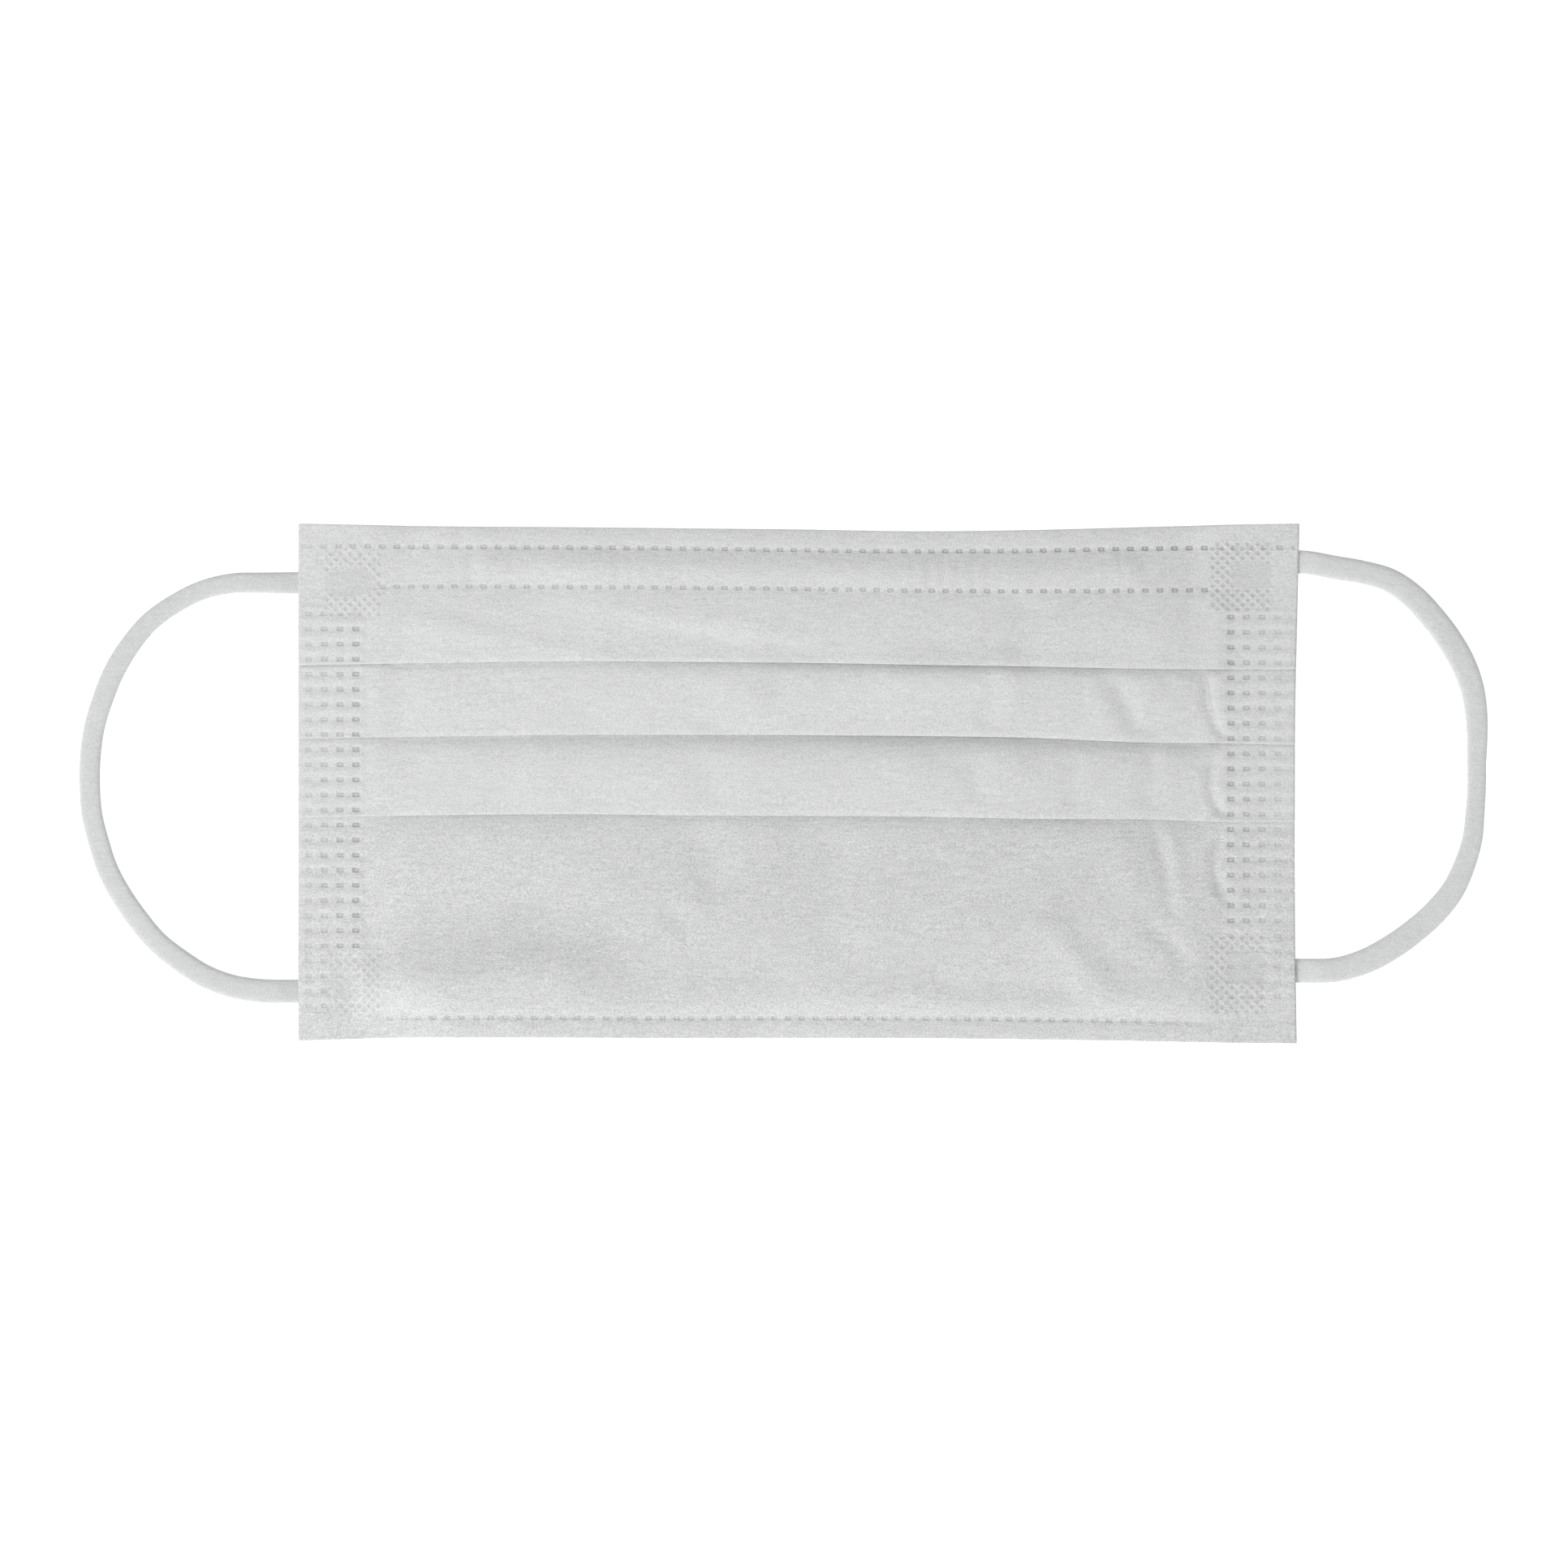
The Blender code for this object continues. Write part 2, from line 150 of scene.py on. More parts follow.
# How far each front fold lifts off the layer below, in mm
FOLD_LIFT = {
    "place": (-1.0, -0.75, -0.4, -0.07, 0.27, 0.55, 0.8, 1.0),
    "fold_1": (0.0, 0.0, 0.08, 0.45, 0.50, 0.45, 0.12, 0.0),
    "fold_2": (0.0, 0.0, 0.0, 0.12, 0.34, 0.14, 0.0, 0.0),
    "fold_3": (0.0, 0.45, 0.66, 0.84, 0.96, 0.92, 0.44, 0.0),
}
# How far the whole stack stands off the floor, in mm, at the left and from the middle on
SWELL = {
    "y": (-46.0, -40.0, -37.5, -34.0, -31.0, -27.5, -22.0, -6.0, 8.0, 20.0, 28.0, 34.0, 40.0, 46.0),
    "left": (2.85, 2.75, 2.15, 1.28, 0.72, 0.34, 0.12, 0.12, 0.24, 0.64, 0.97, 0.90, 0.50, 0.12),
    "right": (0.65, 0.62, 0.48, 0.20, 0.10, 0.10, 0.10, 0.12, 0.32, 0.94, 1.27, 1.34, 0.50, 0.0),
}
# The hollow of the right edge: place from the top down, hollow as a share of RIGHT_EDGE_BOW
RIGHT_EDGE = {"place": (0.0, 0.25, 0.4, 0.8, 1.0), "hollow": (0.0, 0.7, 1.0, 1.0, 0.6)}

# Heights along the visible runs, as shares of the way and of the run's rise
FIRST_PANEL = {
    "place": (0, 0.05, 0.1, 0.16, 0.3, 0.5, 0.75, 0.88, 1.0),
    "rise": (0.42, 0.53, 0.64, 0.75, 0.92, 1.02, 1.04, 1.02, 1.0),
    "lift": (0, 0, 0, 0, 0.03, 0.18, 0.50, 0.74, 1.0),
}
SECOND_PANEL = {
    "place": (0, 0.04, 0.09, 0.15, 0.22, 0.33, 0.5, 0.75, 1.0),
    "rise": (0, 0.45, 0.80, 0.99, 1.06, 1.09, 1.09, 1.05, 1.0),
    "left_rise": (0, 0.75, 0.95, 1.02, 1.05, 1.07, 1.08, 1.05, 1.0),
    "lift": (0, 0.20, 0.45, 0.72, 0.92, 1.06, 1.08, 1.04, 1.0),
}
THIRD_PANEL = {
    "place": (0, 0.04, 0.09, 0.15, 0.22, 0.33, 0.5, 0.75, 1.0),
    "rise": (0, 0.40, 0.73, 0.91, 0.99, 1.04, 1.06, 1.04, 1.0),
    "lift": (0, 0.15, 0.38, 0.64, 0.85, 1.02, 1.09, 1.08, 1.0),
}
LOWER_PANEL = {
    "place": (0, 0.03, 0.07, 0.13, 0.22, 0.35, 0.5, 0.6, 0.70, 0.80, 0.87, 0.93, 0.97, 1.0),
    "left": (0, 0.25, 0.55, 0.82, 1.05, 1.28, 1.50, 1.65, 1.72, 1.62, 1.38, 1.05, 0.72, 0.37),
    "right": (0, 0.22, 0.48, 0.72, 0.98, 1.38, 1.80, 1.95, 1.90, 1.84, 1.78, 1.45, 0.92, 0.37),
}

# Ear loop routes in mm, as the CAD has them: x, y, width as a share of LOOP_WIDTH
LEFT_ROUTE = [
    (-76.0, 35.4, 0.98),
    (-82.6, 35.2, 0.98),
    (-89.3, 35.1, 0.92),
    (-94.3, 35.1, 0.88),
    (-99.6, 35.0, 0.85),
    (-104.8, 33.8, 0.83),
    (-109.6, 31.4, 0.83),
    (-113.9, 28.3, 0.85),
    (-117.4, 24.2, 0.88),
    (-120.2, 19.6, 0.90),
    (-122.2, 14.7, 0.90),
    (-123.7, 9.7, 0.89),
    (-124.4, 4.6, 0.88),
    (-124.5, -0.5, 0.88),
    (-124.1, -5.6, 0.89),
    (-122.9, -10.5, 0.90),
    (-121.3, -15.3, 0.92),
    (-118.9, -19.8, 0.93),
    (-116.0, -24.0, 0.94),
    (-112.7, -27.9, 0.95),
    (-108.7, -31.1, 0.96),
    (-104.3, -33.9, 0.97),
    (-99.5, -35.7, 0.98),
    (-94.4, -36.5, 1.00),
    (-89.3, -36.6, 1.00),
    (-82.8, -36.4, 1.00),
    (-76.4, -36.2, 1.00),
]
RIGHT_ROUTE = [
    (76.0, 37.3, 0.98),
    (79.6, 38.1, 0.98),
    (84.2, 38.8, 1.00),
    (89.1, 38.7, 1.00),
    (94.0, 37.8, 1.00),
    (98.8, 37.0, 1.00),
    (103.6, 35.6, 1.04),
    (107.7, 32.8, 1.08),
    (111.1, 29.2, 1.10),
    (114.0, 25.4, 1.10),
    (116.4, 21.3, 1.08),
    (118.1, 16.9, 1.04),
    (118.9, 12.4, 0.97),
    (119.1, 7.9, 0.88),
    (119.0, 3.5, 0.82),
    (119.0, -0.9, 0.80),
    (118.7, -5.4, 0.82),
    (118.2, -10.0, 0.88),
    (116.8, -14.6, 0.95),
    (114.7, -19.0, 1.00),
    (111.6, -22.8, 1.04),
    (107.9, -26.1, 1.07),
    (103.8, -29.0, 1.08),
    (99.2, -31.4, 1.08),
    (94.3, -32.8, 1.05),
    (89.2, -33.0, 1.02),
    (82.6, -32.8, 1.00),
    (76.2, -32.6, 1.00),
]


def smoothstep(share):
    share = np.clip(share, 0.0, 1.0)
    return share * share * (3 - 2 * share)


def read_curve(places, values, wanted):
    """A table's column at the wanted places, smooth through its rows."""
    places, values = np.asarray(places, float), np.asarray(values, float)
    wanted = np.clip(wanted, places[0], places[-1])
    far = np.clip(np.searchsorted(places, wanted), 1, len(places) - 1)
    near = far - 1
    before, beyond = np.maximum(near - 1, 0), np.minimum(far + 1, len(places) - 1)
    span = places[far] - places[near]
    t = (wanted - places[near]) / span
    slope_near = (values[far] - values[before]) / (places[far] - places[before]) * span
    slope_far = (values[beyond] - values[near]) / (places[beyond] - places[near]) * span
    return (
        values[near] * (2 * t**3 - 3 * t**2 + 1)
        + slope_near * (t**3 - 2 * t**2 + t)
        + values[far] * (3 * t**2 - 2 * t**3)
        + slope_far * (t**3 - t**2)
    )


def make_camera():
    data = bpy.data.cameras.new("camera")
    data.lens = LENS
    data.sensor_width = SENSOR
    data.clip_start = 0.01
    camera = bpy.data.objects.new("camera", data)
    distance = VIEW_WIDTH * LENS / SENSOR
    camera.location = (VIEW_MIDDLE[0] * MM, VIEW_MIDDLE[1] * MM, (distance + 2.0) * MM)
    bpy.context.scene.collection.objects.link(camera)
    bpy.context.scene.camera = camera


# Materials


class Nodes:
    """Short calls for a material's node tree."""

    def __init__(self, name):
        self.material = bpy.data.materials.new(name)
        self.material.use_nodes = True
        self.tree = self.material.node_tree
        self.shader = self.tree.nodes["Principled BSDF"]

    def add(self, kind, **settings):
        node = self.tree.nodes.new(kind)
        for key, value in settings.items():
            if key in node.inputs:
                node.inputs[key].default_value = value
            else:
                setattr(node, key, value)
        return node

    def link(self, source, target):
        self.tree.links.new(source, target)

    def place(self, scale, rotation=(0.0, 0.0, 0.0)):
        """Object coordinates in mm, stretched by scale."""
        coordinates = self.add("ShaderNodeTexCoord")
        mapping = self.add("ShaderNodeMapping")
        mapping.inputs["Scale"].default_value = [1000.0 * s for s in scale]
        mapping.inputs["Rotation"].default_value = rotation
        self.link(coordinates.outputs["Object"], mapping.inputs["Vector"])
        return mapping.outputs["Vector"]

    def noise(self, scale, detail=3.0, roughness=0.6, rotation=(0.0, 0.0, 0.0)):
        node = self.add("ShaderNodeTexNoise", Scale=1.0, Detail=detail, Roughness=roughness)
        self.link(self.place(scale, rotation), node.inputs["Vector"])
        return node.outputs["Fac"]

    def math(self, operation, a, b):
        node = self.add("ShaderNodeMath", operation=operation)
        for socket, value in zip(node.inputs, (a, b)):
            if isinstance(value, (int, float)):
                socket.default_value = value
            else:
                self.link(value, socket)
        return node.outputs["Value"]

    def total(self, parts):
        """The sum of (value - 0.5) * weight over the parts."""
        found = 0.0
        for value, weight in parts:
            share = self.math("MULTIPLY", self.math("SUBTRACT", value, 0.5), weight)
            found = self.math("ADD", found, share)
        return found

    def ramp(self, value, start, end, low, high):
        """A smooth change from low at start to high at end."""
        node = self.add("ShaderNodeMapRange", interpolation_type="SMOOTHSTEP")
        settings = {"From Min": start, "From Max": end, "To Min": low, "To Max": high}
        for socket, number in settings.items():
            node.inputs[socket].default_value = number
        self.link(value, node.inputs["Value"])
        return node.outputs["Result"]

    def marks(self, attribute, half, soft):
        """1 inside the weld marks of a cell attribute, times its strength."""
        node = self.add("ShaderNodeAttribute", attribute_name=attribute)
        parts = self.add("ShaderNodeSeparateXYZ")
        self.link(node.outputs["Vector"], parts.inputs["Vector"])
        found = parts.outputs["Z"]
        for axis, half_size, edge in zip("XY", half, soft):
            place = self.math("ADD", parts.outputs[axis], 0.5)
            away = self.math("ABSOLUTE", self.math("SUBTRACT", self.math("FRACT", place, 0.0), 0.5), 0.0)
            inside = self.ramp(away, half_size - edge, half_size + edge, 1.0, 0.0)
            found = self.math("MULTIPLY", found, inside)
        return found


def fibre_material(name, color, grain, streak, bump_mm, sheen, welded):
    """Matte nonwoven or knit: fine fibres as small changes of colour and of the surface's height."""
    nodes = Nodes(name)
    fine = nodes.noise((3.3, 4.0, 3.0), 3.0, 0.8)
    streaks = nodes.noise((0.34, 1.5, 1.0), 3.0, 0.6)
    clouds = nodes.noise((0.9, 1.2, 1.0), 2.0, 0.6, (0.0, 0.0, 0.4))
    patches = nodes.noise((0.1, 0.1, 0.1), 2.0, 0.5)
    tone = nodes.total([(fine, grain), (streaks, streak), (clouds, streak * 0.6), (patches, 0.06)])
    if welded:
        coordinates = nodes.add("ShaderNodeSeparateXYZ")
        nodes.link(nodes.place((1.0, 1.0, 1.0)), coordinates.inputs["Vector"])
        coarser = nodes.ramp(coordinates.outputs["Y"], -12.0, -2.0, SINGLE_LAYER_GRAIN, 1.0)
        # Drawn about 3 % darker below the third fold: fully below y = -9 mm, fading out by y = -5 mm.
        lower_sheet_darkening = nodes.ramp(coordinates.outputs["Y"], -9.0, -5.0, LOWER_SHEET_TONE, 1.0)
        tone = nodes.math("ADD", nodes.math("MULTIPLY", tone, coarser), 1.0)
        tone = nodes.math("MULTIPLY", tone, lower_sheet_darkening)
    else:
        tone = nodes.math("ADD", tone, 1.0)
    height = nodes.math("MULTIPLY", nodes.total([(fine, 1.0), (streaks, 1.2), (clouds, 0.8)]), bump_mm)
    if welded:
        # Weld dashes and dots are drawn darker: partly the fused film's own tone, partly painted shade of
        # their small pits. Each dash gets a painted darker rim of shade round a paler middle.
        dashes = nodes.marks("dash_cell", DASH_HALF, (0.045, 0.04))
        dash_middles_less_shaded = nodes.marks("dash_cell", [half * 0.5 for half in DASH_HALF], (0.045, 0.04))
        dashes = nodes.math("SUBTRACT", dashes, nodes.math("MULTIPLY", dash_middles_less_shaded, 0.5))
        dots = nodes.marks("dot_cell", DOT_HALF, (0.10, 0.10))
        oval = nodes.add("ShaderNodeAttribute", attribute_name="oval_share").outputs["Fac"]
        # The smooth ovals are darker as fused film; the darkening of the dashes and dots is partly painted
        # pit shade.
        for marks, weld_tone_and_pit_shade in ((dashes, 0.30), (dots, 0.17), (oval, 0.065)):
            kept = nodes.math("SUBTRACT", 1.0, nodes.math("MULTIPLY", marks, weld_tone_and_pit_shade))
            tone = nodes.math("MULTIPLY", tone, kept)
        height = nodes.math("SUBTRACT", height, nodes.math("MULTIPLY", dashes, 0.08))
        height = nodes.math("SUBTRACT", height, nodes.math("MULTIPLY", dots, 0.06))
    tint = nodes.add("ShaderNodeMix", data_type="RGBA", blend_type="MULTIPLY")
    tint.inputs["Factor"].default_value = 1.0
    tint.inputs["A"].default_value = (*color, 1.0)
    nodes.link(tone, tint.inputs["B"])
    nodes.link(tint.outputs["Result"], nodes.shader.inputs["Base Color"])
    bump = nodes.add("ShaderNodeBump", Distance=MM, Strength=1.0)
    nodes.link(height, bump.inputs["Height"])
    nodes.link(bump.outputs["Normal"], nodes.shader.inputs["Normal"])
    nodes.shader.inputs["Roughness"].default_value = 0.88
    nodes.shader.inputs["Specular IOR Level"].default_value = 0.25
    nodes.shader.inputs["Sheen Weight"].default_value = sheen
    nodes.shader.inputs["Sheen Roughness"].default_value = 0.6
    return nodes.material


def wire_material():
    nodes = Nodes("wire_coating_look")
    tone = nodes.math("ADD", nodes.total([(nodes.noise((0.6, 4.0, 1.0)), 0.08)]), 1.0)
    tint = nodes.add("ShaderNodeMix", data_type="RGBA", blend_type="MULTIPLY")
    tint.inputs["Factor"].default_value = 1.0
    tint.inputs["A"].default_value = (0.78, 0.78, 0.77, 1.0)
    nodes.link(tone, tint.inputs["B"])
    nodes.link(tint.outputs["Result"], nodes.shader.inputs["Base Color"])
    nodes.shader.inputs["Roughness"].default_value = 0.45
    return nodes.material


# Ear loops


def smooth_route(route, spacing):
    """Evenly spaced (x, y, width share) along one smooth curve through the route's points."""
    route = np.array(route)
    chord = np.r_[0.0, np.cumsum(np.linalg.norm(np.diff(route[:, :2], axis=0), axis=1))]
    fine = np.linspace(0.0, chord[-1], 2000)
    dense = np.stack([read_curve(chord, route[:, c], fine) for c in range(3)], axis=1)
    run = np.r_[0.0, np.cumsum(np.linalg.norm(np.diff(dense[:, :2], axis=0), axis=1))]
    even = np.linspace(0.0, run[-1], int(run[-1] / spacing) + 1)
    return np.stack([np.interp(even, run, dense[:, c]) for c in range(3)], axis=1), run[-1]


def make_ear_loop(side_name, route, material, seed):
    """A flat soft knit tube: an oval section with a slight crown, softly uneven along its length."""
    points, length = smooth_route(route, 0.45)
    sides = 28
    along = np.linspace(0.0, length, len(points))
    random = np.random.RandomState(seed)
    drift = np.zeros_like(along)
    for wave in (2.3, 4.1, 7.7):
        size = random.uniform(0.3, 1.0)
        drift += size * np.sin(along / wave + random.uniform(0, 6.28))
    tangent = np.gradient(points[:, :2], axis=0)
    tangent /= np.linalg.norm(tangent, axis=1)[:, None]
    side = np.stack([tangent[:, 1], -tangent[:, 0]], axis=1)
    angle = np.linspace(0, 2 * math.pi, sides, endpoint=False)
    half_width = points[:, 2] * LOOP_WIDTH / 2 * (1 + 0.008 * drift)
    free = smoothstep((np.abs(points[:, 0]) - HALF_LENGTH + 0.6) / 5.0)
    half_thick = points[:, 2] * LOOP_THICKNESS / 2 * (WELDED_SHARE + (1 - WELDED_SHARE) * free)
    across = np.sign(np.cos(angle)) * np.abs(np.cos(angle)) ** 0.6
    up = np.sign(np.sin(angle)) * np.abs(np.sin(angle)) ** 0.85
    height = half_thick[:, None] * (1 + up[None, :] * (1 + 0.02 * drift[:, None]))
    x = points[:, 0, None] + side[:, 0, None] * across * half_width[:, None]
    y = points[:, 1, None] + side[:, 1, None] * across * half_width[:, None]
    verts = np.stack([x, y, np.maximum(height, 0.02)], axis=2).reshape(-1, 3)
    faces = []
    for i in range(len(points) - 1):
        for j in range(sides):
            k = (j + 1) % sides
            faces.append((i * sides + j, i * sides + k, (i + 1) * sides + k, (i + 1) * sides + j))
    faces.append(tuple(range(sides)))
    faces.append(tuple((len(points) - 1) * sides + j for j in range(sides)))
    loop = make_mesh(f"ear_cord_{side_name}", verts, faces, material)
    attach(loop, "root")
    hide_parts(f"ear_loop_{side_name}")


def make_mesh(name, verts_mm, faces, material, flat_from=None):
    """A smooth-shaded closed mesh in mm, with the faces from flat_from on shaded flat."""
    data = bpy.data.meshes.new(name)
    data.from_pydata((np.asarray(verts_mm) * MM).tolist(), [], faces)
    data.shade_smooth()
    if flat_from is not None:
        for polygon in data.polygons[flat_from:]:
            polygon.use_smooth = False
    data.materials.append(material)
    data.update()
    made = bpy.data.objects.new(name, data)
    bpy.context.scene.collection.objects.link(made)
    return made


# The folded sheet


def line_y(x, line):
    """Where an edge or a fold line lies at x."""
    straight = {
        "top": HALF_HEIGHT,
        "row_1": HALF_HEIGHT - FIRST_ROW_DROP,
        "row_2": HALF_HEIGHT - SECOND_ROW_DROP,
        "fold_1": HALF_HEIGHT - FOLD_1_DROP,
        "fold_2": HALF_HEIGHT - FOLD_2_DROP,
        "fold_3": HALF_HEIGHT - FOLD_3_DROP,
        "bottom": -HALF_HEIGHT,
    }
    return straight[line] + OUTLINE_WAVE * read_curve(LINES["place"], LINES[line], x / HALF_LENGTH)


def band_share(x):
    """0 in the soft middle of the body, rising to 1 at the side bands."""
    return smoothstep((np.abs(x) - BAND_START + LIFT_SPAN) / LIFT_SPAN)


def wire_share(x):
    """1 over the nose wire, 0 beyond its ends."""
    return smoothstep((x - WIRE_LEFT_END + 1.0) / 2.5) * smoothstep((WIRE_RIGHT_END + 1.0 - x) / 2.5)


def cloth_thickness(x):
    """The sheet is pressed thin in the welded side bands."""
    return CLOTH + (BAND_CLOTH - CLOTH) * smoothstep((np.abs(x) - BAND_START + 4.0) / 4.0)


class Sheet:
    """Rows of points down the folded sheet at the given columns.

    Each row holds y and z over the columns, its place along the sheet, and whether the weld marks
    show on it.
    """

    def __init__(self, x, spacing):
        self.x = x
        self.spacing = spacing
        self.weld = smoothstep((np.abs(x) - BAND_START + 4.0) / 4.0)
        loose = read_curve(LAYER_STEP["place"], LAYER_STEP["mm"], x / HALF_LENGTH)
        self.step = loose + (BAND_STEP - loose) * self.weld
        self.hem_step = HEM_STEP + (BAND_STEP - HEM_STEP) * self.weld
        self.cloth = cloth_thickness(x)
        self.low = CLOTH / 2 + BAND_LIFT * band_share(x)
        self.soft = 1 - band_share(x)
        self.rows_y, self.rows_z, self.rows_t, self.rows_seen = [], [], [], []
        self.segment = 0

    def level(self, number):
        return self.low + number * self.step

    def add(self, y, z, share, seen):
        self.rows_y.append(y + 0 * self.x)
        self.rows_z.append(z + 0 * self.x)
        self.rows_t.append(self.segment + share)
        self.rows_seen.append(seen)

    def run(self, start_y, end_y, height, seen, shares=None, count=None):
        """Rows from one y to another, both ends included, at the height that the function gives."""
        self.segment += 1
        if shares is None:
            longest = float(np.max(np.abs(end_y - start_y)))
            steps = count or max(2, int(math.ceil(longest / self.spacing)))
            shares = np.linspace(0.0, 1.0, steps + 1)
        for share in shares:
            self.add(start_y + (end_y - start_y) * share, height(share), share * 0.98, seen)

    def turn(self, y, middle, radius, start_deg, end_deg, count=7, reach=1.0):
        """The bend between two layers, without its two end points, as wide as reach times its radius."""
        self.segment += 1
        for i in range(1, count):
            angle = math.radians(start_deg + (end_deg - start_deg) * i / count)
            out, up = reach * radius * math.cos(angle), radius * math.sin(angle)
            self.add(y + out, middle + up, i / count, False)

    def shares_with_rows(self, length, rows):
        """Evenly spaced shares of a length in mm, closer together at the weld rows in it."""
        steps = max(2, int(math.ceil(length / self.spacing)))
        found = list(np.linspace(0.0, length, steps + 1))
        for row in rows:
            near = [row + offset for offset in (-0.55, -0.32, -0.14, 0.0, 0.14, 0.32, 0.55)]
            found = [d for d in found if abs(d - row) > 0.75] + near
        found = [0.0, length] + [d for d in found if 0.05 < d < length - 0.05]
        return np.array(sorted(found)) / length

    def top_hem(self):
        top, row_1, row_2 = (line_y(self.x, line) for line in ("top", "row_1", "row_2"))
        radius = self.hem_step / 2 + (self.step - self.hem_step) * 0.25
        edge = top - radius - self.cloth / 2
        flap_end = top - TOP_FLAP
        self.run(flap_end, edge, lambda s: self.low, False, count=5)
        self.turn(edge, self.low + radius, radius, -90, 90)
        welded = self.low + self.hem_step

        def border(share):
            z = self.low + 2 * radius + (self.hem_step - 2 * radius) * smoothstep(share)
            return z + TOP_HEM_PUFF * self.soft * math.sin(math.pi * share)

        length = float(np.mean(edge - row_1))
        self.run(edge, row_1, border, True, shares=self.shares_with_rows(length, [length]))
        bulge = CHANNEL_PUFF + CHANNEL_RISE * wire_share(self.x)

        def channel(share):
            return welded + bulge * self.soft * max(0.0, math.sin(math.pi * share)) ** 1.3

        length = float(np.mean(row_1 - row_2))
        self.run(row_1, row_2, channel, True, shares=self.shares_with_rows(length, [0.0, length])[1:])

    def lift(self, fold):
        """How far a front fold lifts off the layers below it."""
        return self.soft * read_curve(FOLD_LIFT["place"], FOLD_LIFT[fold], self.x / HALF_LENGTH)

    def panel(self, table, start_z, end_y, fold):
        """A visible run down to the next front fold."""
        start_y = self.rows_y[-1]
        rise = self.level(2) - self.low

        def height(share):
            shape = read_curve(table["place"], table["rise"], share)
            lifted = read_curve(table["place"], table["lift"], share)
            left_shape = read_curve(table["place"], table.get("left_rise", table["rise"]), share)
            shape = left_shape + (shape - left_shape) * smoothstep((self.x + 55.0) / 40.0)
            puffed = PUFF * self.soft * math.sin(math.pi * share) ** 2
            return np.maximum(self.low + rise * shape + self.lift(fold) * lifted + puffed, start_z)

        self.segment += 1
        longest = float(np.max(np.abs(end_y - start_y)))
        steps = int(math.ceil(longest / self.spacing))
        for i in range(1, steps + 1):
            share = i / steps
            y = start_y + (end_y - start_y) * share
            self.add(y, height(share), share, True)

    def pleat(self, fold):
        """The front fold, the return layer, the back fold and the hidden layer of the panel below."""
        front = line_y(self.x, fold)
        lift = self.lift(fold)
        radius = self.step / 2
        near = front + FOLD_SHARPNESS * radius + self.cloth / 2
        far = front + PLEAT_DEPTH - radius - self.cloth / 2
        self.turn(near, self.level(1.5) + lift, radius, 90, 270, count=8, reach=FOLD_SHARPNESS)
        self.run(near, far, lambda s: self.level(1) + lift * (1 - s) ** 2, False, count=5)
        self.turn(far, self.level(0.5), radius, 90, -90, count=4)
        self.run(far, near, lambda s: self.level(0), False, count=4)

    def lower_panel(self):
        bottom = line_y(self.x, "bottom")
        start_y = self.rows_y[-1]
        radius = self.hem_step / 2 + (self.step - self.hem_step) * 0.2
        edge = bottom + radius + self.cloth / 2
        row = bottom + BOTTOM_ROW_RISE
        self.segment += 1
        longest = float(np.max(start_y - row))
        shares = self.shares_with_rows(longest, [longest])[1:]
        for share in shares:
            left = read_curve(LOWER_PANEL["place"], LOWER_PANEL["left"], share)
            right = read_curve(LOWER_PANEL["place"], LOWER_PANEL["right"], share)
            shape = left + (right - left) * smoothstep((self.x + 50.0) / 45.0)
            above = LOWER_PUFF * self.soft + 0.25 * (1 - self.soft)
            floor = self.low + self.hem_step * smoothstep((share - 0.9) / 0.06)
            z = np.maximum(self.low + above * shape, floor)
            self.add(start_y + (row - start_y) * share, z, share, True)
        welded = self.rows_z[-1]
        turned = self.low + 2 * radius

        def height(share):
            puffed = BOTTOM_HEM_PUFF * self.soft * math.sin(math.pi * share)
            return welded + (turned - welded) * smoothstep(share) + puffed

        length = BOTTOM_ROW_RISE - 0.4
        self.run(row, edge, height, True, shares=self.shares_with_rows(length, [0.0])[1:])
        self.turn(edge, self.low + radius, radius, 90, 270)
        self.run(edge, bottom + BOTTOM_FLAP, lambda s: self.low, False, count=3)

    def build(self):
        fold_1, fold_2, fold_3 = (line_y(self.x, f"fold_{n}") for n in (1, 2, 3))
        near = FOLD_SHARPNESS * self.step / 2 + self.cloth / 2
        self.top_hem()
        self.panel(FIRST_PANEL, self.low + self.hem_step, fold_1 + near, "fold_1")
        self.pleat("fold_1")
        self.panel(SECOND_PANEL, self.low, fold_2 + near, "fold_2")
        self.pleat("fold_2")
        self.panel(THIRD_PANEL, self.low, fold_3 + near, "fold_3")
        self.pleat("fold_3")
        self.lower_panel()
        rows = len(self.rows_y)
        points = np.zeros((rows, len(self.x), 3))
        points[:, :, 0] = self.x
        points[:, :, 1] = self.rows_y
        points[:, :, 2] = self.rows_z
        return points, np.array(self.rows_t), np.array(self.rows_seen)


# Weld marks: every mark has its centre at whole numbers of its own cell coordinates


def nearest(value):
    return np.abs(value - np.round(value))


def marks_at(u, v, half, soft):
    """1 inside the marks of a cell pattern, 0 outside them."""
    inside_u = 1 - smoothstep((nearest(u) - half[0] + soft[0]) / (2 * soft[0]))
    inside_v = 1 - smoothstep((nearest(v) - half[1] + soft[1]) / (2 * soft[1]))
    return inside_u * inside_v


def window(value, low, high, soft):
    return smoothstep((value - low) / soft + 0.5) * smoothstep((high - value) / soft + 0.5)


# Dashes of the side bands: the middle of the first one, their pitch, and the extent of the pattern
BANDS = [
    {"first": (-77.65, 29.7), "pitch": (2.76, 2.646), "x": (-87.3, -76.3), "y": (-40.4, 31.0)},
    {"first": (75.85, 29.15), "pitch": (2.75, 2.663), "x": (74.5, 87.0), "y": (-38.4, 30.4)},
]
# How strongly each column of dashes is pressed in, from the inner one out
COLUMN_STRENGTH = np.array((1.0, 0.75, 0.6, 0.4, 0.2))
